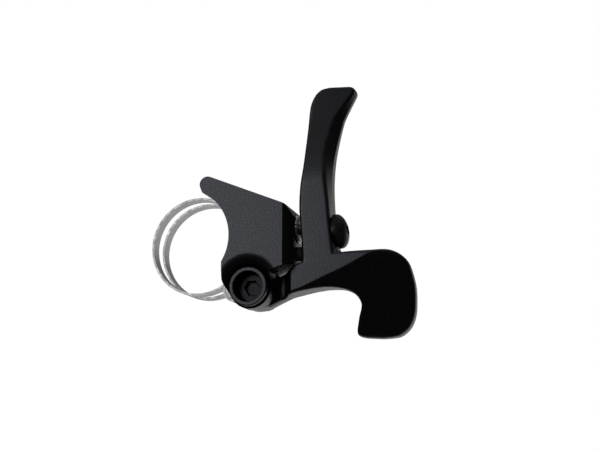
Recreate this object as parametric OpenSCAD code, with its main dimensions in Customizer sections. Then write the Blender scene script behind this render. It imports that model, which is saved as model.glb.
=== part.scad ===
// Dropper post remote lever for a round handlebar.
// The handlebar axis is Y, with the origin on it at the middle of the strap.
// +X points from the bar to the lever, +Z up, and the rider's side is -Y.

/* [Handlebar and strap] */
// Diameter of the handlebar that the strap closes on
bar_d = 22.2; // [21.8:0.1:22.6]
// Thickness of the stainless strap
strap_t = 0.5; // [0.4:0.1:0.6]
// Width of the strap along the bar
strap_w = 9.6; // [8.4:0.4:10]
// Width of the long slot in the strap
strap_slot_w = 3.4; // [2.6:0.2:4]
// Diameter of the pin that holds the strap's upper end
anchor_pin_d = 2.4; // [2:0.1:2.6]
// Angle of the upper loop on the bar, from +X towards +Z
anchor_angle = 36; // [34:1:38]
// Diameter of the cross nut in the strap's lower loop
cross_nut_d = 4.2; // [4:0.1:4.4]
// Angle of the lower loop on the bar, from +X towards -Z
cross_angle = 50; // [49:1:52]

/* [Clamp bolt] */
// Thread diameter of the clamp bolt
clamp_bolt_d = 2.5; // [2.4:0.1:2.8]
// Distance from the cross nut's axis to the seat of the bolt's washer
clamp_bolt_reach = 17; // [16:0.5:18]
// Head diameter of the clamp bolt
clamp_head_d = 4.6; // [4.4:0.1:5]
// Slope of the clamp bolt's axis above +X
clamp_slope = 42; // [41:0.5:43]

/* [Perch body] */
// Distance of the body's front face from the middle of the strap
body_front = 16; // [15.4:0.1:16.4]
// Distance of the body's rear face from the middle of the strap
body_rear = 5.4; // [5.2:0.1:6]
// Height of the lobe's centre above the top of the bar
lobe_rise = 0.8; // [0.7:0.1:1.1]
// Place of the lobe's end along X
lobe_x = 5.9; // [5.6:0.1:6.2]
// Radius of the lobe's round end
lobe_r = 1.8; // [1.6:0.1:1.9]
// Distance of the body's right face from the side of the bar
body_reach = 14; // [13.7:0.1:14.1]
// Height of the top edge at the right face, before its corner is cut
shoulder_z = 6.2; // [6:0.1:6.6]
// Width of the long slope on the body's front right edge
slope_w = 1.7; // [1.4:0.1:2]
// Depth of that slope
slope_depth = 3.4; // [2.8:0.2:4]
// Height of the block's lower edge above the pivot, at its right end
floor_rise = 5; // [4.9:0.1:5.3]

/* [Pivot] */
// Distance of the pivot's axis from the side of the bar, along X
pivot_out = 4.4; // [4.2:0.1:4.6]
// Distance of the pivot's axis below the bar's lowest line
pivot_drop = 0.4; // [0.2:0.1:0.5]
// Outer radius of the pivot boss
boss_r = 4.3; // [4.2:0.05:4.4]
// Radius of the round hollow milled about the boss, at the front face
recess_r = 7.6; // [7:0.1:7.8]
// Depth of that hollow at the boss
recess_depth = 5; // [4.6:0.1:5.2]
// Radius of the bolt's counterbore
counterbore_r = 3.5; // [3.45:0.05:3.6]
// Thickness of the front ear below the counterbore
ear_web = 1; // [0.9:0.1:1.2]
// Distance of the lever hub's front face from the middle of the strap
hub_front = 9.4; // [9.2:0.1:9.6]
// Thickness of the lever's hub
hub_t = 4.2; // [4:0.1:4.3]
// Outer radius of the rear ear
rear_ear_r = 3.9; // [3.9:0.05:4.3]
// Thickness of the rear ear
rear_ear_t = 3.6; // [3.5:0.1:4]
// Diameter of the pivot bolt's shank
pivot_d = 4; // [3.8:0.1:4.2]
// Wall of the plain bushing and the spring's guide
bushing_wall = 0.6; // [0.5:0.05:0.65]
// Diameter of the spring pocket in the lever's hub
spring_pocket_d = 6.8; // [6.7:0.05:7]
// Wire of the return spring
spring_wire = 0.55; // [0.5:0.05:0.6]
// Thickness of the thrust washer in front of the hub
thrust_t = 0.4; // [0.3:0.05:0.5]

/* [Lever] */
// Distance of the lever's main face from the middle of the strap
lever_front = 12; // [11.8:0.1:12.2]
// Thickness of the lever at its root
lever_t = 7.6; // [7.2:0.1:8]
// Radius of the lever's hub about the pivot
hub_r = 4.5; // [4.45:0.05:4.6]
// Edge rounding of the thumb blade and the arm
lever_edge = 0.6; // [0.4:0.1:0.9]
// Edge rounding of the paddle
paddle_edge = 1.3; // [1:0.1:1.5]
// Thickness of the thumb blade at its tip
blade_t = 4.4; // [4:0.1:4.8]
// Thickness of the paddle
paddle_t = 4.2; // [4:0.1:4.6]
// Tilt of the paddle's face, top edge forward
paddle_tilt = 34; // [30:1:36]

/* [Cable] */
// Height of the cable line above the bar's axis
cable_z = 1.9; // [1.8:0.1:2]
// Distance of the cable line from the middle of the strap
cable_y = 8.2; // [8:0.1:8.4]
// Bore for the inner cable
cable_bore_d = 1.8; // [1.6:0.1:2]
// Outer diameter of the dark outlet collar
collar_d = 6.4; // [6.2:0.1:6.6]
// Diameter of the stainless nose
nose_d = 2.6; // [2.4:0.1:2.8]
// How far the nose stands out of the body
nose_out = 0.8; // [0.6:0.1:0.9]
// Diameter of the cable anchor's domed head
dome_d = 7.8; // [7.4:0.1:8]
// Height of the domed head
dome_h = 2.7; // [2.5:0.1:2.8]
// Rise of the cable anchor's axis towards its head
dome_tilt = 9; // [8:0.5:10]
// Thread diameter of the cable anchor
anchor_thread_d = 4; // [3.8:0.1:4.2]
// Distance of the housing inlet's axis from the side of the bar
inlet_out = 4.1; // [4:0.1:4.3]
// Diameter of the cable housing
housing_d = 4.2; // [4:0.1:4.3]
// Knob diameter of the barrel adjuster
adjuster_d = 7; // [6.8:0.1:7.2]
// Knob length of the barrel adjuster
adjuster_len = 8; // [7.5:0.5:9]

/* [Hidden] */

$fn = 96;
arc_steps = 10;
bar_r = bar_d / 2;
pivot_x = bar_r + pivot_out;
pivot_z = -bar_r - pivot_drop;
body_right = bar_r + body_reach;
lobe_z = bar_r + lobe_rise;
floor_z = pivot_z + floor_rise;
inlet_x = bar_r + inlet_out;
// Named clearances: sliding seats, running fits, and drilled holes round a thread
seat_gap = 0.1;
run_gap = 0.04;
hole_gap = 0.2;
slot_gap = 0.3;
hair_gap = 0.05;
over = 1;

black = [0.16, 0.16, 0.18];
grey = [0.3, 0.3, 0.31];
white = [0.85, 0.85, 0.8];
rubber = [0.1, 0.1, 0.1];
steel = [0.75, 0.75, 0.77];
brass = [0.78, 0.62, 0.30];

// Loops of the strap
strap_mid = bar_r + strap_t / 2;
upper_loop_r = anchor_pin_d / 2 + seat_gap + strap_t / 2;
lower_loop_r = cross_nut_d / 2 + seat_gap + strap_t / 2;
upper_c = polar(strap_mid + upper_loop_r + hair_gap, anchor_angle);
lower_c = polar(strap_mid + lower_loop_r + hair_gap, -cross_angle);
strap_room = strap_w / 2 + slot_gap;

// Depths along Y, front to back
ear_back = -hub_front - thrust_t - 2 * run_gap;
head_seat = ear_back - ear_web;
hub_back = -hub_front + hub_t;
rear_ear_front = hub_back + seat_gap;
rear_ear_back = rear_ear_front + rear_ear_t;
pivot_head_h = 1.5;
pivot_head_floor = 0.4;
pivot_hex = 3;
head_gap = 0.4;
pivot_head_r = counterbore_r - head_gap;
lock_nut_t = 1.8;
lock_nut_r = 3.1;
bushing_r = pivot_d / 2 + run_gap + bushing_wall;
spring_turns = 3;
coil_gap = 0.02;
spring_pitch = spring_wire + coil_gap;
spring_len = spring_turns * spring_pitch + spring_wire;
hub_pocket = 1.7;
ear_pocket = spring_len + 2 * seat_gap - hub_pocket - seat_gap;
bushing_len = hub_t - hub_pocket;

clamp_dir = [cos(clamp_slope), sin(clamp_slope)];
washer_t = 0.6;
washer_r = clamp_head_d / 2 + washer_t;
washer_inset = 0.5;

function polar(r, a) = [r * cos(a), r * sin(a)];
function arc(c, r, a0, a1, n = arc_steps) = [for (i = [0:n]) c + polar(r, a0 + (a1 - a0) * i / n)];
// Smooth step between 0 and 1
function ease(t) = let (c = max(0, min(1, t))) c * c * (3 - 2 * c);
// Smooth value at x from a list of [x, value] stations, with even slopes at each one
function slope_at(s, i) = i == 0 ? (s[1][1] - s[0][1]) / (s[1][0] - s[0][0])
    : i == len(s) - 1 ? (s[i][1] - s[i - 1][1]) / (s[i][0] - s[i - 1][0])
    : (s[i + 1][1] - s[i - 1][1]) / (s[i + 1][0] - s[i - 1][0]);
function span_of(s, x, i = 0) = i >= len(s) - 2 || x < s[i + 1][0] ? i : span_of(s, x, i + 1);
function along(s, x) = let (i = span_of(s, x), w = s[i + 1][0] - s[i][0], t = (x - s[i][0]) / w)
    (2 * t ^ 3 - 3 * t ^ 2 + 1) * s[i][1] + (t ^ 3 - 2 * t ^ 2 + t) * w * slope_at(s, i)
    + (3 * t ^ 2 - 2 * t ^ 3) * s[i + 1][1] + (t ^ 3 - t ^ 2) * w * slope_at(s, i + 1);

// Stand an XZ drawing up and give it depth from y0 to y1
module slab(y0, y1) { translate([0, y1, 0]) rotate([90, 0, 0]) linear_extrude(y1 - y0) children(); }
// A rod along Y at a place in XZ
module rod(c, r, y0, y1, r2 = -1) {
    translate([c[0], y1, c[1]]) rotate([90, 0, 0]) cylinder(h = y1 - y0, r1 = r2 < 0 ? r : r2, r2 = r);
}
// Turn +Z onto the clamp bolt's axis, from the cross nut outwards
module on_clamp_axis(s = 0) {
    translate([lower_c[0] + s * clamp_dir[0], 0, lower_c[1] + s * clamp_dir[1]])
        rotate([0, 90 - clamp_slope, 0]) children();
}
// Turn +Z onto the cable line, towards the lever
module on_cable(x) { translate([x, -cable_y, cable_z]) rotate([0, 90, 0]) children(); }

// Perch body
pivot = [pivot_x, pivot_z];
ear_rim = 0.45;
front_ear_r = boss_r + ear_rim;
boss_chamfer = 0.2;
// The hollow's wall curves from the front face down to its floor, just inside the boss
hollow_r = boss_r - seat_gap;
// The boss ends a little behind the body's front face
boss_set = 0.35;
// Round bulge on the left of the pivot, and where its edge meets an ear's
bulge_at = [-2.9, 2.1];
bulge = pivot + bulge_at;
bulge_r = 3.15;
bulge_dir = atan2(bulge[1] - pivot[1], bulge[0] - pivot[0]);
function meet(ear_r) = bulge_dir + acos((ear_r - bulge_r) / norm(bulge - pivot));
seat_end = -5;
channel_turn = 50;
lobe_turn = 205;
lobe_foot = 58;
ear_turn = 150;
foot = [4.7, 3.3];
floor_left = pivot + foot;
corner_cut = [1.3, 1.9];
corner_rise = 0.35;
top_normal = atan2(lobe_z + lobe_r - shoulder_z, lobe_x - body_right) - 90;
function block_outline(ear_r) = concat(
    arc([lobe_x, lobe_z], lobe_r, top_normal, lobe_turn),
    [polar(bar_r - over, lobe_foot), polar(bar_r - over, 0), [bulge[0] - bulge_r, seat_end]],
    arc(bulge, bulge_r, 180, meet(ear_r)),
    arc(pivot, ear_r, meet(ear_r), meet(ear_r) + ear_turn),
    [floor_left, [body_right, floor_z], [body_right, shoulder_z - corner_cut[1]],
        [body_right - corner_cut[0], shoulder_z + corner_rise]]);

far = 3 * bar_r;
hub_room = 0.8;
rear_lift = 0.5;
hub_roof = pivot_z + hub_r + hub_room;
module block() {
    slab(-body_front, ear_back) polygon(block_outline(front_ear_r));
    slab(ear_back, body_rear) polygon(block_outline(rear_ear_r));
}

module perch_body() color(black) difference() {
    union() {
        difference() {
            block();
            // Gap between the ears for the lever's hub
            slab(ear_back, rear_ear_front)
                polygon([[0, -far], [0, bulge[1] - bulge_r], [bulge[0] - over, hub_roof],
                    [pivot_x, hub_roof], floor_left, [body_right + over, floor_z],
                    [body_right + over, -far]]);
            rod(pivot, hub_r + slot_gap, ear_back, rear_ear_front);
            // Behind the rear ear
            slab(rear_ear_back, body_rear + over)
                polygon([[0, -far], [0, pivot_z + rear_ear_r], [floor_left[0], floor_left[1] + rear_lift],
                    [body_right + over, floor_z + rear_lift], [body_right + over, -far]]);
            // Hollow about the boss
            translate([pivot_x, -body_front, pivot_z]) rotate([90, 0, 0]) rotate_extrude()
                polygon(concat([[0, over], [recess_r, over]], [for (a = [0:9:90])
                    [recess_r - (recess_r - hollow_r) * sin(a), -recess_depth * (1 - cos(a))]],
                    [[0, -recess_depth]]));
        }
        rod(pivot, boss_r, -body_front + boss_set + boss_chamfer, ear_back);
        rod(pivot, boss_r - boss_chamfer, -body_front + boss_set, -body_front + boss_set + boss_chamfer,
            boss_r);
    }
    // Seat on the bar, and the channel that the strap runs in
    rod([0, 0], bar_r, -body_front - over, body_rear + over);
    rotate([90, 0, 0]) rotate([0, 0, anchor_angle])
        rotate_extrude(angle = channel_turn) translate([0, -body_rear - over])
            square([bar_r + strap_t + seat_gap, strap_room + body_rear + over]);
    // Pockets for the two loops, open at the back
    rod(upper_c, upper_loop_r + strap_t / 2 + seat_gap, -strap_room, body_rear + over);
    rod(lower_c, lower_loop_r + strap_t / 2 + slot_gap, -strap_room, body_rear + over);
    // Pivot bore and its counterbore
    rod(pivot, pivot_d / 2 + run_gap, -body_front, rear_ear_back + over);
    rod(pivot, counterbore_r, -body_front - over, head_seat);
    rod(pivot, spring_pocket_d / 2, rear_ear_front - over, rear_ear_front + ear_pocket);
    rod(pivot, lock_nut_r + seat_gap, rear_ear_back - lock_nut_t, rear_ear_back + over);
    // Clamp bolt's bore and head pocket
    on_clamp_axis(0) cylinder(h = clamp_bolt_reach + over, r = clamp_bolt_d / 2 + hole_gap);
    on_clamp_axis(clamp_bolt_reach) cylinder(h = far, r = washer_r + hole_gap);
    // Long slope on the front right edge
    translate([body_right, -body_front, 0]) linear_extrude(2 * far, center = true)
        polygon([[-slope_w, -over], [-slope_w, 0], [0, slope_depth], [over, slope_depth], [over, -over]]);
    // Cable way: collar seat, elbow and adjuster's thread
    on_cable(body_right - collar_len) cylinder(h = collar_len + over, r = collar_d / 2 + run_gap);
    elbow_sweep(elbow_r + seat_gap);
    on_cable(inlet_x + elbow_bend) cylinder(h = body_right - inlet_x - elbow_bend, r = elbow_r + seat_gap);
    rod([inlet_x, cable_z], elbow_r + seat_gap, -cable_y + elbow_bend, body_rear + over);
    rod([inlet_x, cable_z], insert_r, body_rear - insert_len, body_rear + over);
    // Seat of the lever's stop pad
    translate([body_right - pad_depth, pad_y, pad_z]) rotate([0, 90, 0])
        cylinder(h = 2 * pad_depth, r = pad_r);
}

// Strap: a long slotted band with a loop at each end
module ring(c, r_in, r_out, y0, y1) difference() {
    rod(c, r_out, y0, y1);
    rod(c, r_in, y0 - over, y1 + over);
}
slot_from = 62;
slot_to = 342 - cross_angle;
// A pie slice from one angle to another, wider than the strap
function pie(a0, a1) = concat([[0, 0]], arc([0, 0], 2 * bar_r, a0, a1, 8));
module clamp_strap() color(steel) difference() {
    union() {
        difference() {
            rod([0, 0], bar_r + strap_t, -strap_w / 2, strap_w / 2);
            rod([0, 0], bar_r, -strap_w, strap_w);
            slab(-strap_w, strap_w) polygon(pie(-cross_angle, anchor_angle));
        }
        ring(upper_c, upper_loop_r - strap_t / 2, upper_loop_r + strap_t / 2, -strap_w / 2, strap_w / 2);
        ring(lower_c, lower_loop_r - strap_t / 2, lower_loop_r + strap_t / 2, -strap_w / 2, strap_w / 2);
    }
    slab(-strap_slot_w / 2, strap_slot_w / 2) polygon(pie(slot_from, slot_to));
    for (a = [slot_from, slot_to]) slot_end(a);
    // Bolt's way through the lower loop
    on_clamp_axis(-2 * cross_nut_d) cylinder(h = 4 * cross_nut_d, r = clamp_bolt_d / 2 + hole_gap);
}
module slot_end(a) rotate([90, 0, 0]) rotate([0, 0, a]) translate([bar_r - over, 0, 0])
    rotate([0, 90, 0]) cylinder(h = strap_t + 2 * over, r = strap_slot_w / 2 - hair_gap);
module strap_anchor_pin() color(steel) rod(upper_c, anchor_pin_d / 2, -strap_w / 2, strap_w / 2);
module strap_cross_nut() color(steel) difference() {
    rod(lower_c, cross_nut_d / 2, -strap_w / 2, strap_w / 2);
    on_clamp_axis(-2 * cross_nut_d) cylinder(h = 4 * cross_nut_d, r = clamp_bolt_d / 2);
}

// Clamp bolt with a hex socket, and its washer
module hex_socket(across, h) { cylinder(h = h, r = across / sqrt(3), $fn = 6); }
bolt_head_h = 3;
bolt_head_floor = 1;
clamp_hex = 2.5;
module clamp_bolt() color(steel) on_clamp_axis(0) difference() {
    union() {
        translate([0, 0, -cross_nut_d / 2])
            cylinder(h = clamp_bolt_reach + washer_t + cross_nut_d / 2, r = clamp_bolt_d / 2);
        translate([0, 0, clamp_bolt_reach + washer_t]) cylinder(h = bolt_head_h, r = clamp_head_d / 2);
    }
    translate([0, 0, clamp_bolt_reach + washer_t + bolt_head_floor]) hex_socket(clamp_hex, bolt_head_h);
}
module clamp_washer() color(steel) on_clamp_axis(clamp_bolt_reach) difference() {
    cylinder(h = washer_t, r = washer_r);
    translate([0, 0, -over]) cylinder(h = washer_t + 2 * over, r = clamp_bolt_d / 2 + run_gap);
}

// Pivot: bolt from the front, lock nut in the rear ear, two bushings, torsion spring
module pivot_bolt() color(steel) difference() {
    union() {
        rod(pivot, pivot_d / 2, head_seat, rear_ear_back);
        rod(pivot, pivot_head_r, head_seat - pivot_head_h, head_seat);
    }
    translate([pivot_x, head_seat - pivot_head_floor, pivot_z]) rotate([90, 0, 0])
        hex_socket(pivot_hex, pivot_head_h);
}
module pivot_lock_nut() color(steel) difference() {
    rod(pivot, lock_nut_r, rear_ear_back - lock_nut_t, rear_ear_back);
    rod(pivot, pivot_d / 2, -over, rear_ear_back + over);
}
module sleeve(r_out, y0, y1) ring(pivot, pivot_d / 2 + run_gap, r_out, y0, y1);
module pivot_bushing() color(brass) sleeve(bushing_r, -hub_front, -hub_front + bushing_len);
module spring_guide() color(white)
    sleeve(bushing_r, -hub_front + bushing_len + seat_gap, rear_ear_front + ear_pocket - seat_gap);
module thrust_washer() color(steel) sleeve(boss_r - washer_inset, ear_back + run_gap, -hub_front - run_gap);
spring_mid_r = (bushing_r + spring_pocket_d / 2) / 2;
spring_start = hub_back - hub_pocket + seat_gap + spring_wire / 2;
function coil_ring(a) = let (d = polar(1, a), y = spring_start + spring_pitch * a / 360)
    [for (k = [7:-1:0]) let (q = polar(spring_wire / 2, 45 * k)) [pivot_x + (spring_mid_r + q[0]) * d[0],
        y + q[1], pivot_z + (spring_mid_r + q[0]) * d[1]]];
module return_spring() color(steel) loft([for (a = [0:15:360 * spring_turns]) coil_ring(a)]);

// Cable outlet, elbow and adjuster
collar_len = 2.6;
elbow_r = 1.5;
elbow_bend = 6;
insert_r = 3;
insert_len = 4.6;
module elbow_sweep(r, r_in = 0) {
    translate([inlet_x + elbow_bend, -cable_y + elbow_bend, cable_z])
        rotate([0, 0, 180]) rotate_extrude(angle = 90) translate([elbow_bend, 0]) difference() {
            circle(r = r);
            if (r_in > 0) circle(r = r_in);
        }
}
collar_out = 0.4;
module outlet_collar() color(grey) on_cable(body_right - collar_len) difference() {
    cylinder(h = collar_len + collar_out, r = collar_d / 2);
    translate([0, 0, -over]) cylinder(h = collar_len + 3 * over, r = nose_d / 2 + run_gap);
}
module outlet_nose() color(steel) on_cable(body_right - collar_len) difference() {
    cylinder(h = collar_len + nose_out, r = nose_d / 2);
    translate([0, 0, -over]) cylinder(h = collar_len + 3 * over, r = cable_bore_d / 2);
}
module cable_elbow() color(white) {
    elbow_sweep(elbow_r, cable_bore_d / 2);
    on_cable(inlet_x + elbow_bend) rotate_extrude() translate([cable_bore_d / 2, 0])
        square([elbow_r - cable_bore_d / 2, body_right - collar_len - inlet_x - elbow_bend - hair_gap]);
}
insert_wall = 0.9;
housing_stop = 1.5;
flutes = 12;
flute_r = 0.8;
flute_out = 0.35;
insert_rim = 0.4;
module adjuster_insert() color(brass)
    ring([inlet_x, cable_z], insert_r - insert_wall, insert_r, body_rear - insert_len,
        body_rear + insert_rim);
adj_front = body_rear + insert_rim + seat_gap;
module barrel_adjuster() color(black) difference() {
    union() {
        rod([inlet_x, cable_z], insert_r - insert_wall - run_gap, body_rear - insert_len + insert_rim,
            adj_front);
        difference() {
            rod([inlet_x, cable_z], adjuster_d / 2, adj_front, adj_front + adjuster_len);
            for (i = [0:flutes - 1])
                rod([inlet_x, cable_z] + polar(adjuster_d / 2 + flute_out, 360 / flutes * i), flute_r,
                    adj_front + flute_r, adj_front + adjuster_len + over);
        }
    }
    rod([inlet_x, cable_z], housing_d / 2 + run_gap, adj_front + housing_stop,
        adj_front + adjuster_len + over);
    o_ring(o_ring_r + seat_gap);
    rod([inlet_x, cable_z], cable_bore_d / 2, -over, adj_front + housing_stop + over);
}
o_ring_r = 0.45;
o_ring_inset = 1.4;
o_ring_sink = 0.15;
module o_ring(r) translate([inlet_x, adj_front + adjuster_len - o_ring_inset, cable_z])
    rotate([90, 0, 0]) rotate_extrude() translate([adjuster_d / 2 - o_ring_sink, 0]) circle(r = r);
module adjuster_o_ring() color(rubber) o_ring(o_ring_r);

// Lever stop pad, pressed into the body's right face
pad_r = 1.6;
pad_depth = 1.4;
pad_out = 1;
pad_y = -8.2;
pad_z = -3.6;
module lever_stop_pad() color(rubber) translate([body_right - pad_depth, pad_y, pad_z])
    rotate([0, 90, 0]) cylinder(h = pad_depth + pad_out, r = pad_r);

// Lever: a hub plate with an upper thumb blade and a lower arm that twists into a paddle
lever_back = -lever_front + lever_t;
// Outlines are measured from the pivot. Blade against height: left edge, right edge,
// and the width of the chamfers on the right and left of its front face
blade_left = [[2.5, 11], [7.5, 11.2], [12.5, 10.85], [17.5, 10.5], [22.9, 10.6], [29.2, 11.3], [35.8, 12.05],
    [41.4, 12.65], [43.8, 13.5], [45.6, 15.1], [46.2, 17]];
blade_right = [[2.5, 19.5], [7.5, 18.5], [12.5, 17.9], [18, 17.5], [24, 17.45], [29.6, 18], [35.8, 19.3],
    [38.7, 20.1], [41.6, 21.5], [44.3, 22.9], [45, 23.05], [45.9, 22.6], [46.2, 21.7]];
chamfer_right = [[2.5, 0], [18, 0.1], [25.2, 1], [30.7, 1.9], [38, 1.7], [43, 0.7], [46.2, 0]];
chamfer_left = [[2.5, 0], [17, 0], [22, 0.15], [27, 0.4], [31, 0.3], [36, 0.15], [46.2, 0]];
blade_tip = 46.2;
// Lower arm and paddle: matching places on the edge that is inside its bend and on the outer edge
arm_inner = [[3, -3.95], [7.7, -1.8], [11.2, -0.8], [15.6, -0.1], [19, -0.2], [21.3, -0.85], [22.6, -1.9],
    [23.15, -3.3], [22.9, -4.6], [22.4, -5.9], [22, -7.3], [21.6, -8.8], [21.6, -9.7], [22, -10.15],
    [23, -10.4]];
arm_outer = [[3, 1.6], [7.7, 3.9], [11, 5.6], [15, 7], [20.5, 7.45], [26.5, 7.65], [31, 7.5],
    [34.1, 5.4], [35.2, 1.5], [35.25, -1.7], [34.6, -5.6], [33.2, -8.2], [31.2, -9.8], [29.6, -10.3],
    [27, -10.55]];
paddle_foot = -10.6;
crease = [[1.5, -4], [4.5, -2.7], [10.9, -0.3], [16.5, 2.2], [20.6, 3.9],
    [23.8, 5.5], [27.2, 7.2], [30.5, 8.1], [36.5, 8.5]];
// The arm steps forward from the hub's face, and thins out towards the paddle
step_x = 7.7;
// Where two of the lever's forms overlap, one lies this little below the other
flush_step = 0.02;
plate_inset = 0.15;
step_w = 2.2;
thin_x = 16.5;
thin_w = 10;
// Its edges grow rounder there
soft_x = 19;
soft_w = 5;

// Rounded section between two edges, mapped front to back; each ring has the same count
corner_steps = 3;
side_steps = 4;
face_steps = 4;
fold_end = 0.9;
function corner(cu, cv, ru, rv, a0) = [for (i = [0:corner_steps])
    [cu + ru * cos(a0 + 90 * i / corner_steps), cv + rv * sin(a0 + 90 * i / corner_steps)]];
function side(u, v0, v1) = [for (i = [1:side_steps - 1]) [u, v0 + (v1 - v0) * i / side_steps]];
function face(u0, fold, u1, v) = concat(
    [for (k = [1:face_steps]) [u0 + (fold - u0) * k / face_steps, v]],
    [for (k = [1:face_steps - 1]) [fold + (u1 - fold) * k / face_steps, v]]);
// The front face folds at a place across it
function section(ru, rv, fold = 0) = concat(
    corner(1 - ru, 1 - rv, ru, rv, 0), face(1 - ru, 0, ru - 1, 1),
    corner(ru - 1, 1 - rv, ru, rv, 90), side(-1, 1 - rv, rv - 1), corner(ru - 1, rv - 1, ru, rv, 180),
    face(ru - 1, max(ru - fold_end, min(fold_end - ru, fold)), 1 - ru, -1),
    corner(1 - ru, rv - 1, ru, rv, 270),
    side(1, rv - 1, 1 - rv));
function middle(ring) = [for (p = ring) 1] * ring / len(ring);
// Skin over a row of rings, with each end closed by a fan about its middle
module loft(rings) {
    n = len(rings[0]);
    m = len(rings);
    polyhedron(points = concat([for (r = rings) for (p = r) p], [middle(rings[0]), middle(rings[m - 1])]),
        faces = concat(
            [for (k = [0:n - 1]) [m * n, (k + 1) % n, k]],
            [for (j = [0:m - 2]) for (k = [0:n - 1]) each [
                [j * n + k, j * n + (k + 1) % n, (j + 1) * n + (k + 1) % n],
                [j * n + k, (j + 1) * n + (k + 1) % n, (j + 1) * n + k]]],
            [for (k = [0:n - 1]) [m * n + 1, (m - 1) * n + k, (m - 1) * n + (k + 1) % n]]));
}

// How far a section's faces draw in over the last bit before an end
function draw_in(rest, r) = rest >= r ? 0 : r * (1 - sqrt(1 - (1 - rest / r) ^ 2));

// Blade: front face leans back and turns to the right towards the tip, and the back comes
// forward. Each starts at a height above the pivot and takes a length.
lean_from = 23.5;
lean_len = 16;
lean = 2.2;
turn_from = 25.5;
turn_len = 14;
turn_slope = 0.12;
turn_x = 14.5;
taper_from = 13.5;
taper_len = 22;
function blade_front(x, z) = -lever_front + flush_step + lean * ease((z - lean_from) / lean_len)
    + turn_slope * ease((z - turn_from) / turn_len) * (x - turn_x);
function blade_back(z) = lever_back - flush_step
    - (lever_t - blade_t - lean) * ease((z - taper_from) / taper_len);
function blade_ring(z) = let (x0 = along(blade_left, z), x1 = along(blade_right, z), w = x1 - x0,
    e = min(lever_edge, w / 3), cut0 = along(chamfer_left, z), cut1 = along(chamfer_right, z),
    d = draw_in(blade_tip - z, lever_edge)) [for (p = section(2 * e / w, 2 * e / blade_t))
    let (x = (x0 + x1) / 2 + p[0] * w / 2 + max(0, -p[1]) * (cut0 * (1 - p[0]) - cut1 * (1 + p[0])) / 2,
        f = blade_front(x, z) + d, b = blade_back(z) - d)
    [x, (f + b) / 2 + p[1] * (b - f) / 2, z]];
blade_z = [3, 6.5, 10, 13.5, 17, 20.5, 23.5, 26.5, 29.5, 32.5, 35.5, 38.5, 41, 43, 44.4, 45.3, 45.8,
    46.05, 46.18];

// Lower arm: flat above the crease, falling away below it
function step_of(x) = ease((x - step_x) / step_w);
function arm_front(x, z) = -hub_front + flush_step - (lever_front - hub_front + flush_step) * step_of(x)
    + tan(paddle_tilt) * max(0, along(crease, x) - z);
function arm_back(x, z) = let (thin = lever_back
    + (-lever_front + paddle_t - lever_back) * ease((x - thin_x) / thin_w))
    x < thin_x ? hub_back - flush_step + (lever_back - hub_back + flush_step) * step_of(x)
        : max(thin, arm_front(x, z) + paddle_t);
function arm_edge(x) = lever_edge + (paddle_edge - lever_edge) * ease((x - soft_x) / soft_w);
function listed(points) = [for (i = [0:len(points) - 1]) [i, points[i]]];
// Share of the way from the inner to the outer edge at which a ring crosses the crease
function fold_at(q0, q1, share = 0.5, tries = 3) = let (x = q0[0] + share * (q1[0] - q0[0]))
    tries == 0 ? share
        : fold_at(q0, q1, max(0, min(1, (along(crease, x) - q0[1]) / (q1[1] - q0[1]))), tries - 1);
function arm_ring(i) = let (q0 = along(listed(arm_inner), i), q1 = along(listed(arm_outer), i),
    w = norm(q1 - q0), t = arm_back(q1[0], q1[1]) - arm_front(q1[0], q1[1]), e = min(arm_edge(q0[0]), w / 3),
    d = draw_in((q0[1] + q1[1]) / 2 - paddle_foot, paddle_edge),
    fold = q1[1] - q0[1] > paddle_edge ? 2 * fold_at(q0, q1) - 1 : 0)
    [for (p = section(2 * e / w, 2 * e / t, fold))
    let (q = (q0 + q1) / 2 + p[0] * (q1 - q0) / 2, f = arm_front(q[0], q[1]) + d,
        b = arm_back(q[0], q[1]) - d)
    [q[0], (f + b) / 2 + p[1] * (b - f) / 2, q[1]]];
arm_rings = [0, 0.5, 1, 1.2, 1.4, 1.7, 2, 2.5, 3, 3.5, 4, 4.5, 5, 5.5, 6, 6.5, 7, 7.5, 8, 8.5, 9, 9.5, 10,
    10.5, 11, 11.5, 12, 12.5, 13, 13.5, 14];

// Length of the cable's hole in the lever, from the body's face
cable_reach = 6;
function flip(rings) = [for (r = rings) [for (k = [len(r) - 1:-1:0]) r[k]]];

module lever() color(black) difference() {
    union() {
        rod(pivot, hub_r, -hub_front, hub_back);
        slab(-hub_front, hub_back) translate(pivot) polygon(concat([[0, 0]], arc([0, 0], hub_r, -80, -70, 2),
            [for (i = [0.2, 0.6]) along(listed(arm_inner), i) + [0, plate_inset]],
            [for (i = [0.6, 0.3]) along(listed(arm_outer), i) - [0, plate_inset]],
            arc([0, 0], hub_r, 100, 118, 2)));
        translate([pivot_x, 0, pivot_z]) {
            loft(flip([for (z = blade_z) blade_ring(z)]));
            loft([for (i = arm_rings) arm_ring(i)]);
        }
    }
    rod(pivot, bushing_r + run_gap, -lever_front - over, hub_back + over);
    rod(pivot, spring_pocket_d / 2, hub_back - hub_pocket, hub_back + over);
    on_cable(body_right) cylinder(h = cable_reach, r = cable_bore_d / 2);
    dome_axis() translate([0, 0, -anchor_len - over])
        cylinder(h = 2 * anchor_len, r = anchor_thread_d / 2 + run_gap);
    // Flat that the anchor's washer seats on
    dome_axis() cylinder(h = dome_d, r = dome_d / 2 + slot_gap);
}

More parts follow.
